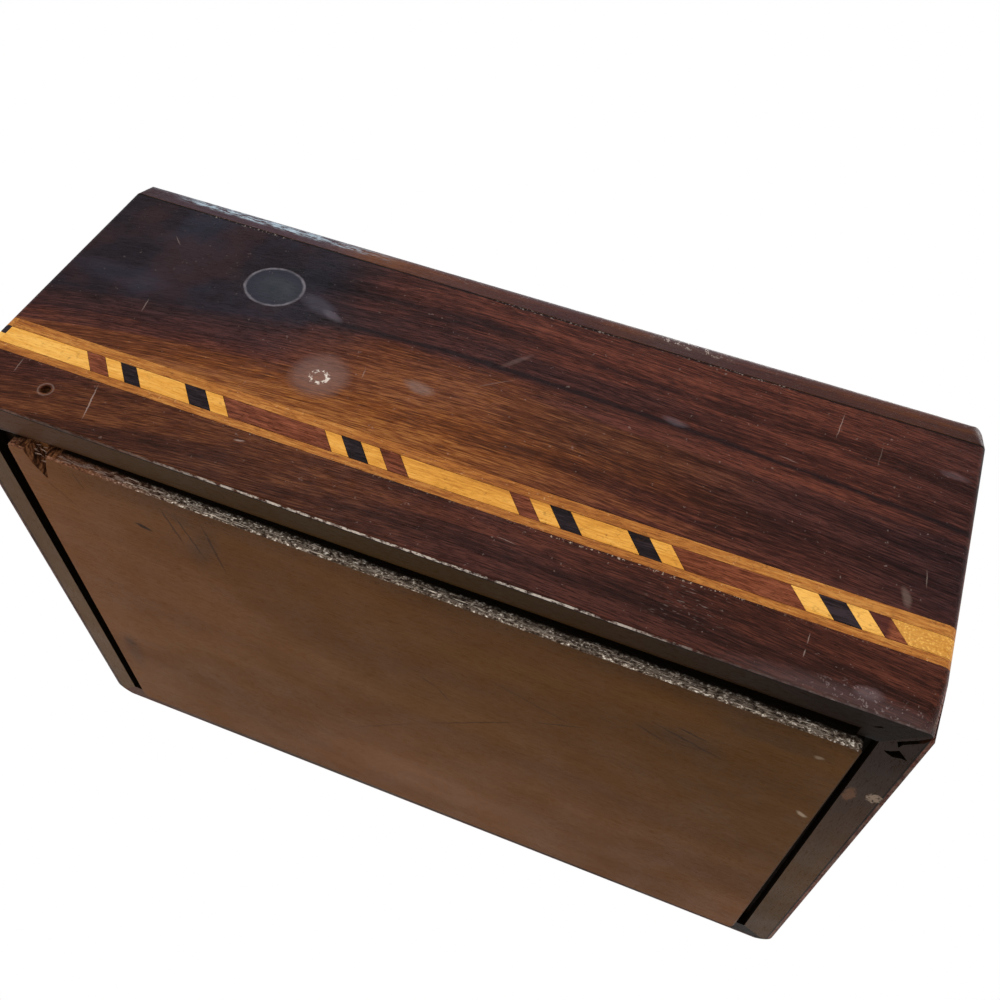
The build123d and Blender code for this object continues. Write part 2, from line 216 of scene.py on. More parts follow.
# %% [markdown]
# ## How wood is drawn
#
# The eye reads wood at several scales at once: broad light and dark figure, fine streaks,
# finer flecks between them, thin dark growth lines, and pores, which are short dark
# dashes. Each is noise that is drawn out along the grain and is narrow across it, at its
# own size in millimetres. The pores of such woods are 0.1 to 0.2 mm wide. The noise fills
# the solid, so a board shows long grain on its faces and short marks on its ends. A
# picture of wood, wrapped round each board, would smear on the ends and repeat.

# %% Noise along the grain
GRAIN = {"X": 0, "Y": 1, "Z": 2}
WALLS = {"X": ("front", "back"), "Y": ("left", "right")}


def drawn_out(grain, long_mm, wide_mm):
    """The factors that turn millimetres into one cell of noise, long along the grain."""
    return [1 / long_mm if i == GRAIN[grain] else 1 / wide_mm for i in range(3)]


def stretched(t, place, per_mm, detail, rough, out=0):
    """Noise with so many cells to a mm along x, y and z."""
    cells = add(t, "VectorMath", place, per_mm, operation="MULTIPLY")
    return add(t, "TexNoise", cells, 1.0, detail, rough, out=out)


def grainy(t, place, grain, long_mm, wide_mm, detail=2.0, rough=0.6):
    """Noise that is drawn out along the grain."""
    return stretched(t, place, drawn_out(grain, long_mm, wide_mm), detail, rough)


def product(t, *values):
    """The product of several values."""
    made = values[0]
    for value in values[1:]:
        made = add(t, "Math", made, value, operation="MULTIPLY")
    return made


def tones(dark, middle, light):
    """A ramp of three colours, from dark to light."""
    return [(0.0, dark), (0.5, middle), (1.0, light)]


print("along x, one cell per mm is", drawn_out("X", 1, 1))

# %% [markdown]
# A tree doesn't grow straight. A slow wave bends the figure and the streaks together, and
# in the veneer so does an arch, as where the saw passed over a swelling in the trunk.

# %% Bent grain
WAVE_MM = (55, 14)
WAVE_HEIGHT_MM = 3.0
MIDDLE_GREY = (0.5, 0.5, 0.5)


def bend(t, place, grain, arch):
    """The place bent by the slow wave and the arch, and the place with the arch alone."""
    wave = stretched(t, place, drawn_out(grain, *WAVE_MM), 1.0, 0.5, "Color")
    wave = add(t, "VectorMath", wave, MIDDLE_GREY, operation="SUBTRACT")
    sideways = [0 if i == GRAIN[grain] else WAVE_HEIGHT_MM for i in range(3)]
    wave = add(t, "VectorMath", wave, sideways, operation="MULTIPLY")
    bent = add(t, "VectorMath", place, wave, operation="ADD")
    if not any(arch):
        return bent, place
    along = add(t, "SeparateXYZ", place, out=grain)
    falls = []
    for fall, half in zip(arch, ("MINIMUM", "MAXIMUM")):
        side = add(t, "Math", along, 0.0, operation=half)
        falls.append(product(t, side, side, fall))
    rise = add(t, "CombineXYZ", None, None, add(t, "Math", *falls, operation="ADD"))
    return add(t, "VectorMath", bent, rise, operation="ADD"), add(t, "VectorMath", place, rise, operation="ADD")


print("the grain waves", WAVE_HEIGHT_MM / 2, "mm to each side")

# %% [markdown]
# One function mixes the scales into a tone from 0, dark, to 1, light, and looks it up in a
# ramp of three colours. The growth lines darken the tone, and the pores go over the colour.

# %% Timber
STREAK_MM = 7.0
FLECK_MM = (2.4, 0.15)
PORE_MM = (1.3, 0.14)
PORE_SPAN = (0.585, 0.67)
RING_MM = 3.4
RING_SHARE = 0.16
RING_WAVER_MM = 7.0
TONE_SPAN = (0.40, 0.60)


def growth_lines(t, place, bent, grain, strength):
    """Thin dark lines that come and go, one each RING_MM across the grain."""
    waver = add(t, "Math", grainy(t, place, grain, 90, 9, 1.0), RING_WAVER_MM, operation="MULTIPLY")
    across = add(t, "Math", add(t, "SeparateXYZ", bent, out="Z"), waver, operation="ADD")
    turn = add(t, "Math", add(t, "Math", across, 1 / RING_MM, operation="MULTIPLY"), operation="FRACT")
    line = add(t, "MapRange", turn, 0.0, RING_SHARE, 1.0, 0.0)
    return product(t, line, add(t, "MapRange", grainy(t, bent, grain, 30, 2.5, 1.0), 0.46, 0.60), strength)


def timber(name, grain, stops, figure_mm=3.2, streak_mm=0.27, shares=(0.30, 0.42), rings=0.3, pores=0.55,
           arch=(0.0, 0.0)):
    """Starts a wood material: its tree, places in mm, tone from 0 to 1, colour, pores and height.

    shares are the shares of broad figure and of flecks in the tone, and arch is how fast the
    grain falls away on the low and on the high side of the middle, in mm per square mm."""
    made = bpy.data.materials.new(name)
    made.use_nodes = True
    t = made.node_tree
    t.nodes.clear()
    place = add(t, "VectorMath", add(t, "TexCoord", out="Object"), 1 / MM, operation="SCALE")
    bent, arched = bend(t, place, grain, arch)
    figure = grainy(t, bent, grain, 60, figure_mm, 2.0, 0.5)
    streak = grainy(t, bent, grain, STREAK_MM, streak_mm, 3.0, 0.7)
    fleck = grainy(t, bent, grain, *FLECK_MM, 1.0, 0.5)
    tone = add(t, "Mix", shares[1], streak, fleck, data_type="FLOAT")
    tone = add(t, "Mix", shares[0], tone, figure, data_type="FLOAT")
    line = growth_lines(t, place, bent, grain, rings)
    tone = add(t, "Math", add(t, "MapRange", tone, *TONE_SPAN), line, operation="SUBTRACT", use_clamp=True)
    pore = add(t, "MapRange", grainy(t, bent, grain, *PORE_MM, 1.0, 0.5), *PORE_SPAN)
    colour = add(t, "ValToRGB", tone, stops=stops)
    shade = product(t, pore, pores)
    colour = add(t, "Mix", shade, colour, linear(stops[0][1]), data_type="RGBA")
    height = add(t, "Math", streak, pore, operation="SUBTRACT")
    return {"material": made, "tree": t, "place": place, "bent": bent, "arched": arched,
            "xyz": [add(t, "SeparateXYZ", place, out=axis) for axis in "XYZ"],
            "figure": figure, "tone": tone, "pore": pore, "colour": colour, "height": height}


print("pores are", PORE_MM[1], "mm wide, and growth lines", RING_MM, "mm apart")

# %% [markdown]
# ## Polish
#
# Old shellac polish is worn duller in patches, and it sinks into the pores, so the gloss is
# uneven and the streaks and pores stand in relief by hundredths of a millimetre. A new
# varnish would have the usual specular level of 0.5. The photograph shows hardly any
# mirror reflection, so the level is matched down until the dark woods stay dark.

# %% Polish, and putting a material on solids
def polish(wood, gloss=0.38, gloss_spread=0.14, relief_mm=0.03, specular=0.03):
    """Ends a wood material: its gloss is uneven, and its streaks and pores stand in relief."""
    t = wood["tree"]
    worn = add(t, "TexNoise", wood["place"], 0.09, 4.0, 0.6)
    rough = add(t, "MapRange", worn, 0.35, 0.65, gloss - gloss_spread / 2, gloss + gloss_spread / 2)
    rough = add(t, "Math", rough, product(t, wood["pore"], 0.25), operation="ADD")
    rough = add(t, "Math", rough, wood.get("rough", 0.0), operation="ADD", use_clamp=True)
    shader = add(t, "BsdfPrincipled", named={
        "Base Color": wood["colour"],
        "Roughness": rough,
        "Specular IOR Level": specular,
        "Normal": add(t, "Bump", 1.0, relief_mm * MM, None, wood["height"]),
    })
    add(t, "OutputMaterial", shader)
    return wood["material"]


def give(material, *names):
    """Puts a material on CAD nodes in place of the plain one they came with."""
    for name in names:
        for slot in solids[name].material_slots:
            slot.material = material
    print(material.name, "on", *names)


# %% [markdown]
# ## How marks are drawn
#
# Stains, scratches and worn places sit where they are on the real box. A soft spot is 1 in
# its middle and falls to 0 at its rim: drawn round it is a stain, and drawn very thin it is
# a scratch with tapered ends. A window is 1 between two values of one coordinate. A little
# noise in the place that both read makes their rims uneven. Marks painted by hand on a
# picture would blur close up, and these can be moved by a number.

# %% Spots, windows and ragged rims
def ragged(t, place, size_mm, cell_mm):
    """The place in mm, shifted by noise, so that what reads it has uneven rims."""
    shift = add(t, "TexNoise", place, 1 / cell_mm, 3.0, 0.6, out="Color")
    shift = add(t, "VectorMath", shift, MIDDLE_GREY, operation="SUBTRACT")
    shift = add(t, "VectorMath", shift, 2 * size_mm, operation="SCALE")
    return add(t, "VectorMath", place, shift, operation="ADD")


def spot(t, place, middle, half, turn=(0, 0, 0)):
    """A soft spot round middle, with its half sizes in mm."""
    own = add(t, "Mapping", place, middle, [math.radians(a) for a in turn], half, vector_type="TEXTURE")
    return add(t, "TexGradient", own, out=1, gradient_type="SPHERICAL")


def window(t, value, opens, full, fades, closed):
    """1 where value lies between full and fades, and 0 before opens and after closed."""
    rise = add(t, "MapRange", value, opens, full, interpolation_type="SMOOTHSTEP")
    fall = add(t, "MapRange", value, fades, closed, 1.0, 0.0, interpolation_type="SMOOTHSTEP")
    return product(t, rise, fall)


def patches(t, place, per_mm, low, high, rough=0.6, detail=3.0):
    """Patches of noise with so many cells to a mm, 0 below low and 1 above high."""
    return add(t, "MapRange", add(t, "TexNoise", place, per_mm, detail, rough), low, high)


def tint(wood, mask, strength, colour, low=0.0, high=1.0):
    """Lays a colour, a hex value or a socket, over the wood where the mask runs from low to high."""
    t = wood["tree"]
    much = add(t, "MapRange", mask, low, high, 0.0, strength)
    over = linear(colour) if isinstance(colour, str) else colour
    wood["colour"] = add(t, "Mix", much, wood["colour"], over, data_type="RGBA")
    return much


print("marks are placed in mm")

# %% [markdown]
# Smears and scratches lie on the front face or on the underside, so two coordinates are
# enough. Sparks are small bright grains, such as chipped polish or dust in a tear, and
# some of them are painted glints.

# %% Marks that lie on a face, and sparks
DEEP = 4.0
FRONT_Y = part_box("front_veneer")[0].y / MM


def lying(t, place, face, middle, half, turn):
    """A spot on the front face or the underside, by two coordinates. It turns with the y or the z axis."""
    if face == "front":
        return spot(t, place, (middle[0], FRONT_Y, middle[1]), (half[0], DEEP, half[1]), (0, turn, 0))
    return spot(t, place, (*middle, 0), (*half, DEEP), (0, 0, turn))


def scratch(t, place, face, start, end, width_mm):
    """A lying spot drawn out into a line between two points."""
    (a, b), (c, d) = start, end
    half = (math.hypot(c - a, d - b) / 2, width_mm / 2)
    angle = math.degrees(math.atan2(d - b, c - a))
    return lying(t, place, face, ((a + c) / 2, (b + d) / 2), half, -angle if face == "front" else angle)


def sparks(t, place, cell_mm, low=0.62, high=0.68):
    """Small grains of about cell_mm. The higher low is, the fewer there are."""
    return patches(t, place, 1 / cell_mm, low, high, 0.75, 2.0)


print("front face at y", round(FRONT_Y, 2), "mm")

# %% [markdown]
# ## Veneer
#
# The outside is a dark rosewood-like veneer, sawn thin, glued on with its grain running
# round the box, and french polished long ago. Three tones of the same figure are mixed by
# place: a dark red-brown, a warm golden brown where the light wood of the tree shows, and a
# near black with a cool cast where polish and dirt have built up. The streaks stay the same
# through all three, which is what makes it read as one sheet. The areas follow the arch of
# the grain, and the figure frays their edges.

# %% Veneer tones
TONES = {
    "red": tones("#25110d", "#41211a", "#633629"),
    "warm": tones("#43220d", "#6b3a19", "#93602f"),
    "dark": tones("#0a0608", "#161014", "#251c22"),
}
FRAY_MM = 3.5


def veneer(name, grain, areas, arch):
    """Polished dark veneer. areas are (tone, strength, window along the grain, window across it)."""
    wood = timber(name, grain, TONES["red"], arch=arch)
    t = wood["tree"]
    uneven = ragged(t, wood["bent"], 2.2, 9.0)
    along = add(t, "SeparateXYZ", uneven, out=grain)
    fray = add(t, "MapRange", wood["figure"], 0.3, 0.7, -FRAY_MM, FRAY_MM)
    across = add(t, "Math", add(t, "SeparateXYZ", uneven, out="Z"), fray, operation="ADD")
    palettes = {tone: add(t, "ValToRGB", wood["tone"], stops=TONES[tone]) for tone in ("warm", "dark")}
    for tone, strength, along_window, across_window in areas:
        mask = product(t, window(t, along, *along_window), window(t, across, *across_window))
        tint(wood, mask, strength, palettes[tone])
    return wood


print("tones of the veneer:", *TONES)

# %% [markdown]
# Under the lid the veneer's top edge has broken away in small chips, with pale dots where
# the wood is freshly bared. Along it a thin dark broken line is painted as the shade in the
# seam under the lid.

# %% Painted seam shade and chipped top edge
RIM_Z = 52.9


def seam_shade_and_chips(wood, pale_places):
    """The veneer's top edge: a thin dark broken line of painted seam shade, with small pale chips at places
    along it.
    """
    t = wood["tree"]
    high = add(t, "SeparateXYZ", ragged(t, wood["place"], 0.22, 0.9), out="Z")
    # painted shade: a thin dark broken line where the seam under the lid is in shade
    tint(wood, add(t, "MapRange", high, RIM_Z - 0.45, RIM_Z - 0.2), 0.9, "#0d0808")
    chips = sparks(t, wood["place"], 0.55, 0.56, 0.62)
    chips = product(t, chips, add(t, "MapRange", high, RIM_Z - 0.55, RIM_Z - 0.3))
    for start, end in pale_places:
        near = window(t, wood["xyz"][0], start - 3, start, end, end + 3)
        tint(wood, product(t, chips, near), 0.32, "#b0a29a")


print("walls end at", RIM_Z, "mm")

# %% [markdown]
# The front is darkest at the upper left, golden in the lower middle and red-brown to the
# right. Each area is a window along the box and one up it.

# %% Front veneer
FRONT_ARCH = (0.0017, 0.0007)
front = veneer("french_polished_rosewood_front", "X", [
    ("warm", 0.95, (-62, -42, -6, 34), (14, 18, 22, 30)),
    ("warm", 0.45, (-38, -12, 20, 52), (20, 24, 33, 38)),
    ("warm", 0.40, (-95, -85, -58, -42), (20, 24, 26.5, 31)),
    ("warm", 0.35, (-80, -58, -22, 10), (-8, -2, 13, 17)),
    ("dark", 0.65, (-95, -90, -42, -20), (28.0, 33.0, 90, 95)),
    ("dark", 0.30, (-60, -40, 10, 45), (36.0, 38.0, 41, 45)),
    ("dark", 1.00, (-95, -90, -38, -12), (34.0, 38.5, 90, 95)),
    ("dark", 0.35, (-95, -90, 66, 82), (-9, -8, 6.5, 10.5)),
    ("dark", 0.35, (-60, -40, 20, 50), (38.5, 40, 43, 46)),
    ("dark", 0.50, (52, 78, 90, 95), (16, 22, 90, 95)),
    ("dark", 0.32, (-2, 16, 90, 95), (22, 27, 36, 38)),
    ("dark", 0.22, (30, 50, 90, 95), (16, 22, 36, 38)),
], FRONT_ARCH)
t = front["tree"]
place = ragged(t, front["place"], 0.5, 3.0)
place_fine = ragged(t, front["place"], 0.15, 1.0)
x, y, z = front["xyz"]
print("front veneer has", len(t.nodes), "nodes so far")

# %% [markdown]
# A black vein of the wood follows the arch. Above it, at the left, polish has built up in
# clouds of blue-black and wine red, and the bluish clouds are partly a painted sheen of the
# window's light. Below the band the veneer is darker from handling.

# %% Vein, built-up polish and painted sheen
vein_place = ragged(t, front["arched"], 0.55, 7.0)
vein_x, vein_z = [add(t, "SeparateXYZ", vein_place, out=axis) for axis in "XZ"]
vein = product(t, window(t, vein_z, 37.7, 38.6, 38.8, 39.5), window(t, vein_x, -62, -46, 90, 95))
tint(front, vein, 0.85, "#150d0f")
below_band = add(t, "MapRange", z, 11.5, 12.0, 1.0, 0.0)
tint(front, below_band, 0.30, "#170c06")
built_up_and_sheen = product(t, window(t, vein_x, -95, -90, -46, -26), window(t, vein_z, 33.0, 39.0, 90, 95))
tint(front, built_up_and_sheen, 0.45, "#1c161c")
# partly painted sheen: the blue-black clouds at the upper left are built-up polish and a painted reflection of
# the window
clouds = patches(t, front["place"], 0.07, 0.45, 0.62)
tint(front, product(t, built_up_and_sheen, clouds), 0.60, "#23242f")
elsewhere = add(t, "VectorMath", front["place"], (0, 40, 0), operation="ADD")
tint(front, product(t, built_up_and_sheen, patches(t, elsewhere, 0.08, 0.48, 0.62)), 0.45, "#33201f")
print("vein at 38.7 mm, under the arch")

# %% [markdown]
# A wet glass left a ring: a thin pale line round a cool grey middle that lost its gloss. A
# drop of wax or heat left a pale bloom, with a crust in its middle. Both are soft spots,
# read at several heights, as contour lines are on a hill.

# %% Ring and bloom
RING_MIDDLE = (-41.2, 41.0)
ring = lying(t, place_fine, "front", RING_MIDDLE, (7.1, 6.2), 0)
inside = tint(front, ring, 0.80, "#2c2d36", 0.26, 0.33)
tint(front, lying(t, place, "front", (-40.6, 41.0), (4.6, 3.6), 0), 0.60, "#383c41", 0.0, 0.6)
cloudy = product(t, lying(t, place, "front", RING_MIDDLE, (5.0, 4.2), 0), clouds)
tint(front, cloudy, 0.55, "#20242a", 0.1, 0.5)
broken = add(t, "MapRange", add(t, "TexNoise", front["place"], 0.5, 3.0, 0.7), 0.36, 0.58, 0.45, 1.0)
tint(front, product(t, window(t, ring, 0.24, 0.28, 0.30, 0.35), broken), 0.62, "#77747a")
front["rough"] = product(t, inside, 0.12)
bloom = lying(t, place, "front", (-24.8, 25.9), (5.4, 5.3), 0)
tint(front, bloom, 0.40, "#6a5450", 0.0, 0.30)
tint(front, bloom, 0.26, "#86695e", 0.20, 0.80)
crust = lying(t, place_fine, "front", (-24.8, 25.6), (2.3, 2.0), 0)
crust = product(t, window(t, crust, 0.18, 0.30, 0.48, 0.62), sparks(t, front["place"], 0.6, 0.46, 0.56))
tint(front, crust, 0.78, "#ded5cb")
print("ring at", RING_MIDDLE, "mm")

# %% [markdown]
# Smears are thin grey films, so they are wide, weak spots. Scratches are as fine as a
# hair, 0.2 to 0.4 mm, and run every way.

# %% Smears and scratches on the front
front_smears = [
    # middle x, z; half sizes; turn, strength and colour
    ((-32.4, 40.0), (4.8, 2.0), 18, 0.38, "#4b4853"),
    ((-29.2, 38.6), (2.6, 0.9), 20, 0.30, "#6a646d"),
    ((-9.6, 29.7), (3.2, 1.4), 8, 0.45, "#6f625f"),
    ((2.4, 41.2), (3.4, 0.6), -50, 0.22, "#7a6460"),
    ((29.6, 38.8), (2.6, 0.8), 5, 0.28, "#6a6068"),
    ((72.0, 45.0), (2.8, 0.9), 5, 0.20, "#75656a"),
    ((68.4, 20.5), (0.8, 2.1), -22, 0.32, "#7b6a62"),
    ((66.2, 3.8), (2.4, 1.2), 0, 0.28, "#7a6c70"),
    # partly painted sheen: this wide bluish smear is a real film and a painted reflection of the window
    ((-66.0, 33.5), (12.0, 3.0), 0, 0.18, "#3c3a48"),
]
for middle, half, turn, strength, hex_colour in front_smears:
    tint(front, lying(t, place, "front", middle, half, turn), strength, hex_colour, 0.0, 0.55)

front_scratches = [
    # start and end as x, z; width; strength
    ((-54.8, 11.3), (-52.8, 3.8), 0.26, 0.40),
    ((-68.4, 11.5), (-68.0, 8.0), 0.22, 0.24),
    ((54.0, 51.3), (53.6, 45.0), 0.20, 0.304),
    ((60.8, 47.0), (60.6, 42.0), 0.20, 0.112),
    ((57.1, 9.9), (57.0, 7.8), 0.20, 0.28),
    ((57.0, 7.2), (56.9, 5.7), 0.22, 0.304),
    ((-58.4, 30.5), (-57.8, 27.0), 0.22, 0.24),
    ((46.0, 38.6), (49.5, 38.0), 0.20, 0.20),
    ((-19.0, 30.2), (-18.6, 27.8), 0.20, 0.24),
    ((-2.0, 33.0), (4.0, 37.5), 0.30, 0.112),
    ((70.4, 26.5), (70.9, 22.8), 0.22, 0.20),
    ((-63.0, 45.6), (-60.8, 43.6), 0.20, 0.20),
    ((12.0, 8.3), (15.5, 7.9), 0.20, 0.24),
    ((-30.5, 9.4), (-28.6, 9.8), 0.40, 0.36),
]
for start, end, width, strength in front_scratches:
    tint(front, scratch(t, place_fine, "front", start, end, width), strength, "#b3a097", 0.0, 0.5)
print(len(front_smears), "smears and", len(front_scratches), "scratches")

# %% [markdown]
# Small things make it old: the pale rim of a nail hole, short pale dashes where the polish
# is scuffed along the grain, stray specks, and a grey, rubbed corner at the lower right,
# where a greyish haze is partly wear and partly a painted sheen along the arris.

# %% Nail hole, specks and the rubbed corner
hole_rim = lying(t, place_fine, "front", (-61.4, 7.1), (1.7, 1.7), 0)
tint(front, window(t, hole_rim, 0.20, 0.28, 0.34, 0.44), 0.24, "#93827a")
dashes = add(t, "MapRange", grainy(t, front["place"], "X", 1.6, 0.3, 1.0), 0.62, 0.70)
dash_field = product(t, window(t, x, 33, 38, 43, 48), window(t, z, 3.5, 5.5, 10, 11.5))
tint(front, product(t, dashes, dash_field), 0.30, "#8f8079")
stray = product(t, sparks(t, front["place"], 0.9, 0.70, 0.74), add(t, "MapRange", x, -80, 76, 0.5, 1.0))
tint(front, stray, 0.28, "#9c8b84")
scuff = spot(t, place, (67, FRONT_Y, 2.0), (11, 20, 3.4))
scuff = product(t, sparks(t, front["place"], 0.7, 0.60, 0.66), scuff)
tint(front, scuff, 0.35, "#a39696", 0.0, 0.5)
# partly painted sheen: the greyish haze at the lower right corner is wear and a painted sheen along the arris
corner_wear_and_sheen = spot(t, place, (64, FRONT_Y, 1.5), (20, 20, 3.0))
tint(front, corner_wear_and_sheen, 0.30, "#5f4f50", 0.0, 0.6)
print("front veneer has", len(t.nodes), "nodes so far")

# %% [markdown]
# Small white glints are painted just below the band, and the lower arris is rubbed bare,
# with a thin, broken, pale highlight painted along it.

# %% Edges of the front, and its finish
WALL_EDGE_Z = 1.5
# painted glints: small white sparks just below the band, most between x 12 and 56 mm
beside_band = product(t, window(t, z, 10.9, 11.25, 11.6, 12.0), sparks(t, front["place"], 0.45, 0.60, 0.66))
band_edge_glints = product(t, beside_band, add(t, "Math", window(t, x, 12, 20, 46, 56), 0.2, operation="MAXIMUM"))
tint(front, band_edge_glints, 0.60, "#c0ab98")
# painted highlight: a thin, broken, pale line along the rubbed lower arris
arris_z = add(t, "SeparateXYZ", ragged(t, front["place"], 0.05, 1.0), out="Z")
arris = product(t, add(t, "MapRange", arris_z, WALL_EDGE_Z + 0.01, WALL_EDGE_Z + 0.06, 1.0, 0.0),
                patches(t, front["place"], 0.8, 0.42, 0.56, 0.75),
                add(t, "Math", window(t, x, -50, -18, 28, 50), 0.07, operation="MAXIMUM"))
tint(front, arris, 0.75, "#d6cdc5")
seam_shade_and_chips(front, [(-60, -46), (-4, 14), (28, 43)])
give(polish(front, gloss=0.40, gloss_spread=0.16), "front_veneer")

# %% [markdown]
# The back and the ends aren't seen in the photograph. They take the same veneer with their
# own light and dark places, and a plain rubbed arris along the bottom.

# %% Veneer on the back and the ends
plain_walls = {
    # node: grain, arch, areas
    "back_veneer": ("X", (0.0006, 0.0012), [
        ("warm", 0.9, (-30, 0, 50, 80), (14, 18, 26, 35)),
        ("dark", 0.9, (-95, -90, -40, -5), (34, 39, 90, 95)),
        ("dark", 0.8, (-95, -90, 90, 95), (36, 37, 38, 40))]),
    "left_veneer": ("Y", (0.0010, 0.0010), [
        ("warm", 0.7, (-60, -40, -5, 25), (14, 18, 24, 32)),
        ("dark", 0.9, (-10, 25, 90, 95), (34, 40, 90, 95))]),
    "right_veneer": ("Y", (0.0008, 0.0014), [
        ("warm", 0.7, (-15, 0, 30, 50), (16, 20, 27, 35)),
        ("dark", 0.9, (-95, -90, -30, 0), (38, 43, 90, 95))]),
}
for node, (grain, arch, areas) in plain_walls.items():
    wall = veneer("french_polished_rosewood_" + node.split("_")[0], grain, areas, arch)
    t = wall["tree"]
    rubbed = add(t, "SeparateXYZ", ragged(t, wall["place"], 0.15, 1.0), out="Z")
    rubbed = add(t, "MapRange", rubbed, WALL_EDGE_Z + 0.08, WALL_EDGE_Z + 0.22, 1.0, 0.0)
    tint(wall, product(t, rubbed, patches(t, wall["place"], 0.35, 0.42, 0.58, 0.7)), 0.30, "#7c695b")
    tint(wall, sparks(t, wall["place"], 0.9, 0.70, 0.74), 0.35, "#9c8b84")
    seam_shade_and_chips(wall, [(-58, -20), (12, 40)])
    give(polish(wall, gloss=0.40, gloss_spread=0.16), node)

# %% [markdown]
# ## The inlaid band
#
# Inlay bandings were made by gluing strips of coloured woods into a block, slicing it on
# the slant and facing it above and below with thin lines. Each wood has its own grain: the
# lines are straight and fine, the pale wood is silky, the red one is coarser, and the black
# one is pale wood dyed through, so hardly any grain is left. The last pale piece at the
# right is weathered to a grit, and the red one beside it is stained dark.

# %% Band woods
BAND_FIGURE_MM = 7.0
BAND_MIDDLE_Z = 14.8
band_woods = {
    # node ending: name, tones, streak mm, shares of figure and flecks, growth lines, pores, gloss, relief
    "lines": ("fine_sawn_mahogany_line", tones("#724121", "#985f2b", "#b07a3d"),
              0.35, (0.35, 0.4), 0.15, 0.4, 0.45, 0.04),
    "pale_pieces": ("sliced_satinwood", tones("#a56c29", "#c98e3a", "#dca955"),
                    0.45, (0.6, 0.3), 0.1, 0.25, 0.40, 0.03),
    "red_pieces": ("sliced_padauk", tones("#401e10", "#613220", "#7f4831"),
                   0.4, (0.3, 0.4), 0.2, 0.5, 0.42, 0.05),
    "black_pieces": ("black_dyed_holly", [(0.0, "#0d090b"), (0.6, "#1b1416"), (1.0, "#30272b")],
                     0.4, (0.4, 0.3), 0.1, 0.3, 0.45, 0.03),
}


def weather(wood, ending):
    """The marks that only one of the band's woods has."""
    t = wood["tree"]
    if ending == "lines":
        tint(wood, sparks(t, wood["place"], 0.6, 0.66, 0.72), 0.35, "#d9b184")
    if ending == "pale_pieces":
        end_piece = spot(t, wood["place"], (72, FRONT_Y, BAND_MIDDLE_Z), (9, 6, 9))
        grit = add(t, "MapRange", add(t, "TexVoronoi", wood["place"], 2.2), 0.1, 0.55)
        grit = product(t, grit, add(t, "MapRange", end_piece, 0.2, 0.4))
        tint(wood, grit, 0.55, "#9a5f22")
        wood["height"] = add(t, "Math", wood["height"], product(t, grit, 2.5), operation="SUBTRACT")
    if ending == "red_pieces":
        dark_piece = spot(t, wood["place"], (64, FRONT_Y, BAND_MIDDLE_Z), (4.5, 6, 9))
        tint(wood, dark_piece, 0.75, "#33181c", 0.2, 0.4)


for ending, (name, stops, streak, shares, rings, pores, gloss, relief) in band_woods.items():
    parts = ["lower_line", "upper_line"] if ending == "lines" else [ending]
    for grain, walls in WALLS.items():
        wood = timber(name + "_along_" + grain.lower(), grain, stops,
                      BAND_FIGURE_MM, streak, shares, rings, pores)
        t = wood["tree"]
        tint(wood, patches(t, wood["place"], 0.8, 0.60, 0.72, 0.7), 0.40, "#3a2415")
        weather(wood, ending)
        nodes = [f"{side}_band_{part}" for side in walls for part in parts]
        give(polish(wood, gloss=gloss, relief_mm=relief), *nodes)

# %% [markdown]
# ## Walls
#
# The boards under the veneer are a plain hardwood. Inside, the wood is bare and light. The
# lower edges are dark and smooth from handling, darkest at the right, with a black line of
# old glue behind the veneer. The faces that line the gap round the base panel, and the
# front wall's inner lower edge, are painted near black as the shade in the gap. The masks
# read the direction a face looks in, so one material serves them all.

# %% Walls
# painted shade: near black for the faces down in the gap round the panel; the real glue line behind the veneer
# takes it too
SHADE_AND_GLUE_BLACK = "#0d0906"
HALF_LENGTH = 76.0
HALF_DEPTH = 50.7
BOARD_Z = 9.0
GLUE_DEPTH = 0.95
WORN_DEPTH = (1.8, 1.4)
handled_stops = {
    # colours of the handled lower edge, from the left end to the right or from front to back
    "X": [(0.0, "#482d20"), (0.2, "#382615"), (0.45, "#31210b"),
          (0.7, "#2c1b08"), (0.9, "#160c05"), (1.0, "#120a06")],
    "Y": [(0.0, "#1d130e"), (0.12, "#261a13"), (0.3, "#38271c"), (0.6, "#4b341c"), (1.0, "#432f1b")],
}


def handled_edge(wood, grain, x, y):
    """The colour of the lower edge, darker towards the right, with the grain showing faintly."""
    t = wood["tree"]
    along, half = (x, HALF_LENGTH) if grain == "X" else (y, HALF_DEPTH)
    handled = add(t, "ValToRGB", add(t, "MapRange", along, -half, half), stops=handled_stops[grain])
    if grain == "Y":
        to_left = add(t, "MapRange", x, -60, 60, 0.8, 0.0)
        handled = add(t, "Mix", to_left, handled, linear("#503a24"), data_type="RGBA")
    soft = add(t, "MapRange", wood["tone"], 0.0, 1.0, 0.25, 0.0)
    return add(t, "Mix", soft, handled, linear("#140d08"), data_type="RGBA")


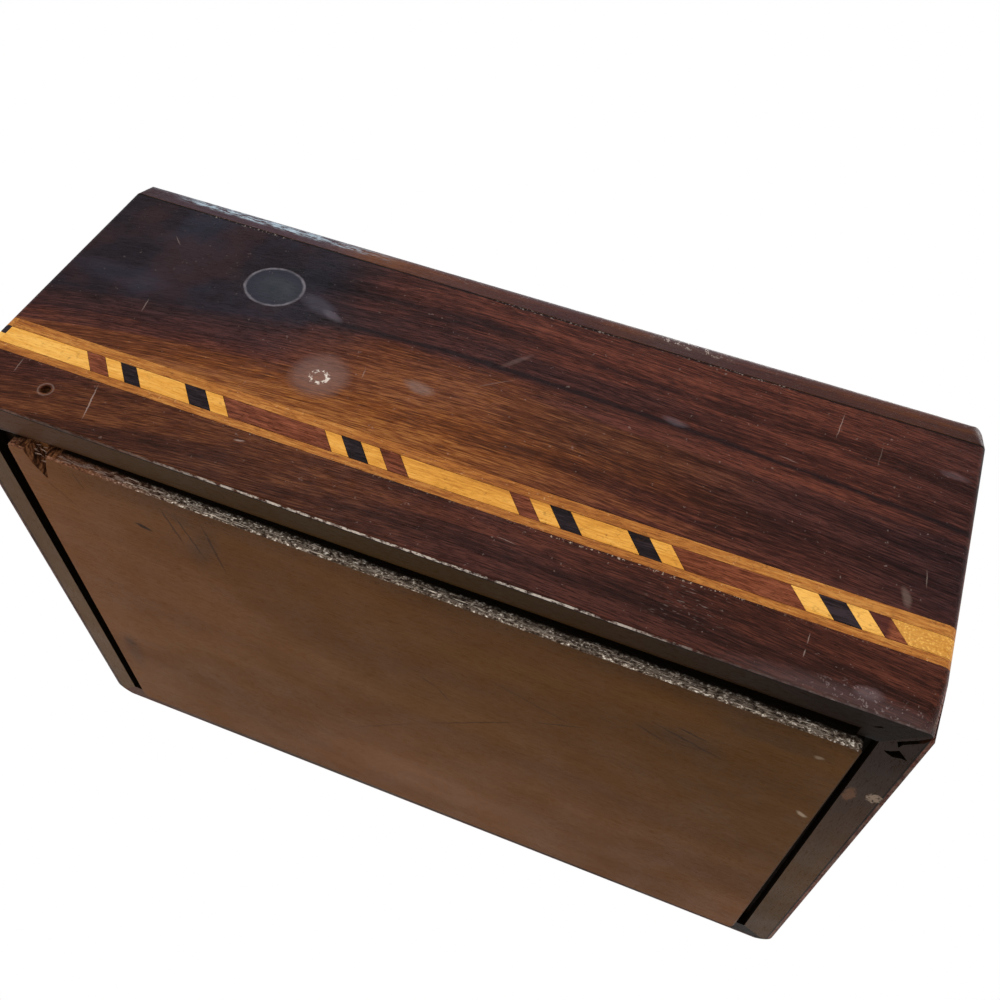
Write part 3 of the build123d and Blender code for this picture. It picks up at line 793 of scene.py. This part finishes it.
for grain, walls in WALLS.items():
    wood = timber("oiled_mahogany_walls_along_" + grain.lower(), grain,
                  tones("#432716", "#684329", "#855c3b"),
                  figure_mm=5.0, streak_mm=0.5, shares=(0.5, 0.3), pores=0.5)
    t = wood["tree"]
    x, y, z = wood["xyz"]
    below = add(t, "MapRange", z, 2.0, 3.0, 1.0, 0.0)
    wood["colour"] = add(t, "Mix", below, wood["colour"], handled_edge(wood, grain, x, y), data_type="RGBA")
    down = add(t, "MapRange", add(t, "SeparateXYZ", add(t, "TexCoord", out="Normal"), out="Z"), -0.45, -0.75)
    behind_veneer, worn_foot = [], []
    for value, half in ((x, HALF_LENGTH), (y, HALF_DEPTH)):
        away = add(t, "Math", value, operation="ABSOLUTE")
        behind_veneer.append(add(t, "Math", away, half - GLUE_DEPTH, operation="GREATER_THAN"))
        worn_foot.append(add(t, "MapRange", away, half - WORN_DEPTH[0], half - WORN_DEPTH[1]))
    glue = product(t, add(t, "Math", *behind_veneer, operation="MAXIMUM"), below, down)
    upright = add(t, "Math", 1.0, down, operation="SUBTRACT")
    upright = product(t, upright, add(t, "MapRange", z, BOARD_Z - 0.15, BOARD_Z - 0.05, 1.0, 0.0))
    worn = product(t, upright, add(t, "Math", *worn_foot, operation="MAXIMUM"))
    tint(wood, worn, 0.8, "#2c1a12")
    if grain == "X":
        # painted shade: the front wall's inner lower edge is darkened to black, as the shade in the gap
        inner_edge_shade = add(t, "SeparateXYZ", ragged(t, wood["place"], 0.4, 3.0), out="Y")
        at_front = add(t, "Math", y, 0.0, operation="LESS_THAN")
        inner_edge_shade = product(t, add(t, "MapRange", inner_edge_shade, -45.4, -44.2), below, at_front)
        tint(wood, inner_edge_shade, 0.8, SHADE_AND_GLUE_BLACK)
    # painted shade: the upright faces below the bottom board, which line the gap, are painted near black
    tint(wood, add(t, "Math", upright, worn, operation="SUBTRACT"), 0.97, SHADE_AND_GLUE_BLACK)
    # the old glue line behind the veneer is real, and takes the same near black
    tint(wood, glue, 0.9, SHADE_AND_GLUE_BLACK)
    if grain == "Y":
        crumbled = ragged(t, wood["place"], 0.8, 1.2)
        chipped = spot(t, crumbled, (74.2, -27.4, WALL_EDGE_Z), (1.3, 1.9, DEEP))
        chipped = product(t, chipped, sparks(t, wood["place"], 0.5, 0.38, 0.5))
        tint(wood, chipped, 0.75, "#8c7b6c", 0.1, 0.3)
        bared = spot(t, crumbled, (71.0, -26.0, WALL_EDGE_Z), (1.0, 3.0, DEEP))
        tint(wood, bared, 0.5, "#6b4a33", 0.1, 0.4)
    give(polish(wood, gloss=0.42, relief_mm=0.02), *[side + "_wall" for side in walls])

# %% [markdown]
# ## Bottom board and divider
#
# Both are planed and left bare, so they are lighter and duller than the outside. The
# underside of the bottom board is painted near black, as the shade down in the gap.

# %% Bottom board and divider
bare_boards = (("planed_pine_bottom_board", "X", "bottom_board"), ("planed_mahogany_divider", "Y", "divider"))
for name, grain, node in bare_boards:
    wood = timber(name, grain, tones("#50331c", "#72502f", "#8f6b43"),
                  figure_mm=6.0, streak_mm=0.6, shares=(0.5, 0.3), rings=0.35, pores=0.4)
    t = wood["tree"]
    # painted shade: below the board's lower face it is painted near black, the shade down in the gap
    below = add(t, "MapRange", wood["xyz"][2], BOARD_Z - 0.15, BOARD_Z - 0.05, 1.0, 0.0)
    tint(wood, below, 0.97, SHADE_AND_GLUE_BLACK)
    give(polish(wood, gloss=0.55, relief_mm=0.04), node)

# %% [markdown]
# ## Base panel
#
# The panel is a softer, plain wood with little grain. It was stained once and has gone
# blotchy: pinkish at the left and the back, olive at the right. Part of its lighter left
# and darker right is painted light, a falloff of the light across the panel. One ramp is
# made for each of these casts, and slow noise mixes them.

# %% Panel wood
panel = timber("stained_cedar_panel", "X", tones("#4f3117", "#553619", "#5c3c1e"),
               figure_mm=14.0, streak_mm=0.5, shares=(0.5, 0.4), rings=0.08, pores=0.12)
t = panel["tree"]
x, y, z = panel["xyz"]
tone = panel["tone"]
pink = add(t, "ValToRGB", tone, stops=tones("#5c3920", "#623e24", "#694429"))
olive = add(t, "ValToRGB", tone, stops=tones("#41280a", "#462c0d", "#4c3111"))
# partly painted light: lighter towards the left and darker towards the right, as the light falls off
to_left = add(t, "MapRange", x, -20, -72)
to_back = add(t, "MapRange", y, 0, 45)
tint(panel, add(t, "Math", to_left, to_back, operation="MAXIMUM"), 0.7, pink)
tint(panel, product(t, add(t, "MapRange", x, -15, 55), add(t, "MapRange", y, 30, -25)), 0.8, olive)
tint(panel, patches(t, panel["place"], 0.022, 0.40, 0.62, 0.5), 0.35, olive)
print("panel has", len(t.nodes), "nodes so far")

# %% [markdown]
# The box slides about on its panel, so that is smudged and scratched. The marks are dark,
# because dirt has settled in them. Towards the torn front edge it is dirtier and pitted.

# %% Marks on the panel
place = ragged(t, panel["place"], 1.0, 4.0)
place_fine = ragged(t, panel["place"], 0.35, 1.5)
panel_smudges = [
    # middle x, y; half sizes; turn, strength and colour
    ((-62.3, 20.0), (2.6, 9.0), 6, 0.35, "#36251a"),
    ((-62.3, 16.5), (1.6, 2.4), 0, 0.45, "#2c1d14"),
    ((-34.0, -33.0), (3.2, 9.0), 22, 0.35, "#33271e"),
    ((-36.5, -38.5), (4.0, 2.0), 10, 0.30, "#352920"),
    ((46.0, -27.0), (8.0, 3.5), 0, 0.30, "#2a1b10"),
    ((58.0, -37.0), (13.0, 3.0), 0, 0.35, "#261810"),
    ((66.4, -17.0), (1.2, 0.7), 35, 0.70, "#9a8a78"),
    ((64.0, -36.5), (0.9, 0.6), 0, 0.50, "#8c7b68"),
    ((4.0, 30.0), (30.0, 9.0), 4, 0.25, "#7c5a44"),
]
for middle, half, turn, strength, hex_colour in panel_smudges:
    tint(panel, lying(t, place, "under", middle, half, turn), strength, hex_colour, 0.05, 0.6)

panel_scratches = [
    # start and end as x, y; width; strength
    ((-14.7, 18.0), (2.0, 2.6), 0.35, 0.40),
    ((2.0, 2.6), (22.0, -14.0), 0.45, 0.50),
    ((22.0, -14.0), (32.0, -19.7), 0.40, 0.50),
    ((13.0, -24.0), (32.0, -17.4), 0.35, 0.45),
    ((2.0, -16.0), (5.5, -14.0), 0.40, 0.55),
    ((5.3, -14.2), (8.0, -10.0), 0.40, 0.55),
    ((-40.0, -41.0), (-37.5, -31.0), 0.60, 0.60),
    ((-37.8, -40.5), (-34.0, -28.0), 0.50, 0.60),
    ((-33.0, -41.0), (-31.0, -26.0), 0.60, 0.55),
    ((-46.6, -33.1), (-43.2, -32.2), 1.10, 0.95),
    ((40.0, -29.5), (53.0, -25.0), 0.60, 0.60),
    ((44.0, -30.5), (50.0, -29.0), 0.60, 0.60),
    ((38.0, -27.0), (44.0, -24.0), 0.50, 0.50),
    ((-62.0, -37.0), (-57.0, -31.0), 0.70, 0.25),
    ((-55.0, -41.5), (-54.0, -37.5), 0.45, 0.45),
]
for start, end, width, strength in panel_scratches:
    tint(panel, scratch(t, place_fine, "under", start, end, width), strength, "#20130b", 0.0, 0.4)

pits = patches(t, panel["place"], 0.9, 0.70, 0.76, 0.75)
tint(panel, product(t, pits, add(t, "MapRange", y, -8, -42)), 0.55, "#20140b")
dirty_band = add(t, "MapRange", add(t, "SeparateXYZ", place, out="Y"), -37.5, -42.5)
dirty_band = product(t, dirty_band, add(t, "MapRange", x, -66, -40))
tint(panel, dirty_band, 0.38, "#23160c")
specks = product(t, sparks(t, panel["place"], 0.5, 0.58, 0.64), dirty_band)
tint(panel, specks, 0.65, "#160d07")
tint(panel, sparks(t, panel["place"], 0.8, 0.72, 0.76), 0.25, "#8a7562")
print(len(panel_smudges), "smudges and", len(panel_scratches), "scratches")

# %% [markdown]
# ## Torn edge of the panel
#
# The panel's long front edge is torn and dusty, and small pale sparks are painted on it as
# glints of light. The colour reads the direction that the surface faces, so that it keeps to
# the edge. Only its lowest millimetre or two is pale, and above that it is painted near black
# as the shade of the gap. The other three edges are painted near black the same way, and the
# broken corner shows fresh split wood.

# %% Torn edge
LIT_EDGE_MM = (1.25, 1.85)
normal = add(t, "TexCoord", out="Normal")
front_facing = add(t, "MapRange", add(t, "SeparateXYZ", normal, out="Y"), -0.35, -0.75)
up_or_down = add(t, "Math", add(t, "SeparateXYZ", normal, out="Z"), operation="ABSOLUTE")
side_facing = add(t, "MapRange", up_or_down, 0.75, 0.45)
torn = stretched(t, panel["place"], (1.6, 2.2, 2.6), 3.0, 0.75)
# painted glints: the palest stops of this ramp are white sparks of light on the torn edge
torn_edge_and_glints = add(t, "ValToRGB", torn, stops=[
    (0.38, "#231b17"), (0.48, "#50463e"), (0.57, "#83786e"), (0.62, "#cbc3ba"), (0.67, "#f6f2ec")])
left_wood = add(t, "ValToRGB", torn, stops=[(0.36, "#3c2419"), (0.55, "#6d4836"), (0.68, "#a07c66")])
torn_edge_and_glints = add(t, "Mix", add(t, "MapRange", x, -52, -34), left_wood, torn_edge_and_glints, data_type="RGBA")
# painted shade: all side faces of the panel are painted near black, the shade of the gap
tint(panel, side_facing, 0.97, SHADE_AND_GLUE_BLACK)
# the lit lowest part of the front edge takes the pale torn colour
lit_edge_part = add(t, "SeparateXYZ", ragged(t, panel["place"], 0.45, 1.6), out="Z")
lit_edge_part = product(t, front_facing, add(t, "MapRange", lit_edge_part, *LIT_EDGE_MM, 1.0, 0.0))
tint(panel, lit_edge_part, 1.0, torn_edge_and_glints)
corner = product(t, spot(t, panel["place"], (-60.9, -42.0, 0.0), (4.6, 8.0, 6.0)), side_facing)
split = stretched(t, panel["place"], (2.6, 0.35, 0.9), 3.0, 0.6)
split = add(t, "ValToRGB", split, stops=[(0.36, "#1d0f08"), (0.5, "#4b2b19"), (0.66, "#8d6041")])
tint(panel, corner, 0.95, split, 0.05, 0.3)
panel["height"] = add(t, "Math", panel["height"], product(t, torn, 5.0, front_facing), operation="ADD")
give(polish(panel, gloss=0.50, gloss_spread=0.12), "base_panel")

# %% [markdown]
# ## Splinters and torn fibres
#
# The panel was cut from its plank with a coarse saw, and its front edge broke away in
# slivers that still hang on. Real slivers are pointed at both ends and lie along the grain.
# They are small closed solids, because a bump in the shading can't stand out from an edge.

# %% Slivers
SLIVER_RINGS = ((-1.0, 0.0), (-0.45, 1.0), (0.35, 0.85), (1.0, 0.0))


def slivers(name, body, material, placed):
    """One mesh of pointed slivers. Each is its middle, half length, half height, half depth, and slopes."""
    points, faces = [], []
    for (mx, my, mz), length, high, deep, slope_y, slope_z in placed:
        first = len(points)
        for share, girth in SLIVER_RINGS:
            along = share * length
            cx, cy, cz = mx + along, my + along * slope_y, mz + along * slope_z
            if girth:
                points += [(cx, cy - deep * girth, cz), (cx, cy, cz + high * girth),
                           (cx, cy + deep * girth, cz), (cx, cy, cz - high * girth)]
            else:
                points.append((cx, cy, cz))
        near, far, last = first + 1, first + 5, first + 9
        for i in range(4):
            j = (i + 1) % 4
            faces += [(first, near + i, near + j), (near + i, far + i, far + j, near + j),
                      (far + i, last, far + j)]
    mesh = bpy.data.meshes.new(name)
    mesh.from_pydata([tuple(c * MM for c in point) for point in points], [], faces)
    shaped = bmesh.new()
    shaped.from_mesh(mesh)
    bmesh.ops.recalc_face_normals(shaped, faces=shaped.faces)
    shaped.to_mesh(mesh)
    shaped.free()
    mesh.materials.append(material)
    made = bpy.data.objects.new(name, mesh)
    bpy.context.collection.objects.link(made)
    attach(made, body)
    print(name, "has", len(placed), "slivers and", len(faces), "faces")
    return made


# %% [markdown]
# The slivers are dusty grey wood, browner at the left. They lie along the edge, which
# slopes a little because the panel sits askew. A seed keeps them the same in every run.

# %% Slivers on the torn edge
PANEL_FRONT_Y = -43.0
PANEL_TURN = 0.00785
PANEL_MIDDLE_X = 0.7
EDGE_SLIVERS = 280
fibre = timber("torn_cedar_fibres", "X", tones("#3a2e26", "#7d7167", "#cfc6bd"),
               figure_mm=1.5, streak_mm=0.25, shares=(0.3, 0.5), rings=0.0, pores=0.3)
t = fibre["tree"]
tint(fibre, add(t, "MapRange", fibre["xyz"][0], -30, -50), 0.75, "#65463a")
fibre_material = polish(fibre, gloss=0.45, relief_mm=0.02, specular=0.2)
random.seed(7)
edge_slivers = []
for n in range(EDGE_SLIVERS):
    mx = random.uniform(-57, 67)
    length, high, deep = random.uniform(0.25, 1.4), random.uniform(0.05, 0.15), random.uniform(0.05, 0.13)
    mz = random.triangular(0.1 + high, 1.6, 0.3)
    my = PANEL_FRONT_Y + (mx - PANEL_MIDDLE_X) * PANEL_TURN - random.uniform(0.0, 0.08)
    slopes = PANEL_TURN + random.uniform(-0.02, 0.02), random.uniform(-0.06, 0.06) * min(1, mz)
    edge_slivers.append(((mx, my, mz), length, high, deep, *slopes))
slivers("torn_edge_slivers", "box", fibre_material, edge_slivers)

# %% [markdown]
# In the broken corner, short fibres stick up from the split wood, and the break narrows
# towards the back, so the fibres do too.

# %% Fibres in the broken corner
CHIP_FIBRES = 26
CHIP_X = -60.9
CHIP_BACK_Y = -38.0
chip_fibres = []
for n in range(CHIP_FIBRES):
    my = random.uniform(-43.4, -38.5)
    reach = 0.35 + (CHIP_BACK_Y - my) * 0.35
    mx = CHIP_X + random.uniform(-reach, reach)
    mz, length = random.uniform(0.9, 2.2), random.uniform(0.4, 1.1)
    slopes = random.uniform(-0.5, 0.5), random.uniform(-0.3, 0.3)
    chip_fibres.append(((mx, my, mz), length, 0.07, 0.09, *slopes))
slivers("torn_fibres_in_chip", "box", fibre_material, chip_fibres)

# %% [markdown]
# ## Lid
#
# The lid is one board, veneered on top and bare below. Its veneer is like the front's,
# with the grain straight.

# %% Lid veneer
EVERYWHERE = (-300, -299, 299, 300)
STRAIGHT = (0.0, 0.0)
lid = veneer("french_polished_rosewood_lid", "X", [
    ("warm", 0.6, (-50, -20, 20, 55), EVERYWHERE),
    ("dark", 0.8, (-95, -90, -52, -25), EVERYWHERE),
    ("dark", 0.5, (52, 78, 90, 95), EVERYWHERE),
], STRAIGHT)
t = lid["tree"]
x, y, z = lid["xyz"]
print("lid veneer has", len(t.nodes), "nodes so far")

# %% [markdown]
# Fingers have rubbed the polish on the lid's edge into a row of different browns. A ramp
# along the box gives them, and ragged noise hides its steps. The lower part of the front
# edge is painted darker, more so towards the right, as the shade along the seam.

# %% Rubbed edge of the lid
EDGE_DEPTH = (1.6, 0.6)
edge_sides = []
for value, half in ((x, HALF_LENGTH), (y, HALF_DEPTH)):
    away = add(t, "Math", value, operation="ABSOLUTE")
    edge_sides.append(add(t, "MapRange", away, half - EDGE_DEPTH[0], half - EDGE_DEPTH[1]))
edge = add(t, "Math", *edge_sides, operation="MAXIMUM")
at_front = add(t, "MapRange", y, EDGE_DEPTH[0] - HALF_DEPTH, EDGE_DEPTH[1] - HALF_DEPTH)
shift_x = add(t, "SeparateXYZ", ragged(t, lid["place"], 2.0, 4.0), out="X")
rubbed = add(t, "ValToRGB", add(t, "MapRange", shift_x, -HALF_LENGTH, HALF_LENGTH), stops=[
    (0.0, "#382a2c"), (0.05, "#43343a"), (0.25, "#463439"), (0.31, "#6b4022"), (0.40, "#5a3423"),
    (0.55, "#563329"), (0.61, "#673c20"), (0.655, "#5a423a"), (0.70, "#593f37"), (0.74, "#55342b"),
    (0.81, "#54301e"), (0.95, "#5c341b"), (1.0, "#40281a")])
dim = add(t, "MapRange", lid["tone"], 0.0, 1.0, 0.65, 0.0)
tint(lid, edge, 1.0, add(t, "Mix", dim, rubbed, linear("#24161a"), data_type="RGBA"))
# painted shade: the lower part of the lid's front edge darkens towards the seam
shaded = add(t, "SeparateXYZ", ragged(t, lid["place"], 0.4, 3.0), out="Z")
shaded = add(t, "MapRange", shaded, 55.2, 54.3)
shaded = product(t, shaded, add(t, "MapRange", x, -35, 5, 0.25, 0.75), at_front)
tint(lid, shaded, 0.8, "#2a1b1f")
print("edge of the lid has", len(t.nodes), "nodes so far")

# %% [markdown]
# The rounded top of that edge is painted with a cool sheen and pale glints, strongest at the
# left, and a bright highlight where the window's light runs along it there. The underside is
# bare, lighter wood, which the mask finds by the direction it faces.

# %% Painted sheen, glints and highlight, and the bare underside
# painted reflection: a cool grey sheen on the rounded top of the edge
top_sheen = product(t, edge, add(t, "MapRange", z, 54.9, 55.9), add(t, "MapRange", x, 76, -60, 0.35, 1.0))
tint(lid, top_sheen, 0.8, "#3f3a44")
# painted glints: pale flecks near the top of the edge
flecks = product(t, sparks(t, lid["place"], 0.55, 0.62, 0.68), edge,
                 add(t, "MapRange", x, 60, -60, 0.2, 1.0), add(t, "MapRange", z, 54.6, 56.0, 0.12, 1.0),
                 add(t, "MapRange", at_front, 0.0, 1.0, 0.25, 1.0))
tint(lid, flecks, 0.55, "#aaa2a6")
pale_patch = product(t, sparks(t, lid["place"], 0.6, 0.56, 0.62), at_front, window(t, x, 20, 24, 31, 36),
                     add(t, "MapRange", z, 54.4, 55.2))
tint(lid, pale_patch, 0.55, "#b5aaa4")
# painted highlight: a bright bluish streak along the left of the lid's edge
window_highlight = product(t, window(t, x, -70, -62, -44, -22), window(t, z, 54.0, 54.7, 55.5, 56.3), at_front,
                add(t, "MapRange", grainy(t, lid["place"], "X", 2.2, 0.35, 3.0, 0.75), 0.44, 0.58))
tint(lid, window_highlight, 0.80, "#a9bdca")
under = add(t, "SeparateXYZ", add(t, "TexCoord", out="Normal"), out="Z")
under = add(t, "MapRange", under, -0.5, -0.8)
bare = add(t, "ValToRGB", lid["tone"], stops=tones("#4c2f1b", "#6f4a2e", "#8a6038"))
tint(lid, under, 1.0, bare)
give(polish(lid, gloss=0.38, gloss_spread=0.16, specular=0.05), "lid_board")

# %% [markdown]
# ## Hinges and screws
#
# The hinges are rolled brass sheet, brown in the corners with old lacquer and brighter
# where they rub. The screws were turned from brass rod and are duller. Metal keeps its own
# index of refraction, and its colour comes from the base colour alone.

# %% Brass
def old_brass(name, bright, dull, gloss):
    """Brass with fine lines along x from rolling or turning, that has browned in patches."""
    made = bpy.data.materials.new(name)
    made.use_nodes = True
    t = made.node_tree
    t.nodes.clear()
    place = add(t, "VectorMath", add(t, "TexCoord", out="Object"), 1 / MM, operation="SCALE")
    patch = add(t, "TexNoise", place, 0.6, 4.0, 0.65)
    lines = stretched(t, place, (0.3, 6.0, 6.0), 2.0, 0.5)
    browned = add(t, "MapRange", patch, 0.4, 0.65)
    shader = add(t, "BsdfPrincipled", named={
        "Base Color": add(t, "Mix", browned, linear(bright), linear(dull), data_type="RGBA"),
        "Metallic": 1.0,
        "Roughness": add(t, "MapRange", patch, 0.35, 0.7, gloss, gloss + 0.25),
        "Normal": add(t, "Bump", 1.0, 0.01 * MM, None, lines),
    })
    add(t, "OutputMaterial", shader)
    return made


leaf_brass = old_brass("rolled_brass_old_lacquer", "#c9a25a", "#7d5c30", 0.28)
screw_brass = old_brass("turned_brass_screws", "#c09a58", "#6f5230", 0.32)
for side in ("left", "right"):
    give(leaf_brass, *[f"{side}_hinge_{part}" for part in ("box_leaf", "lid_leaf", "pin")])
give(screw_brass, "hinge_screws_in_box", "hinge_screws_in_lid")
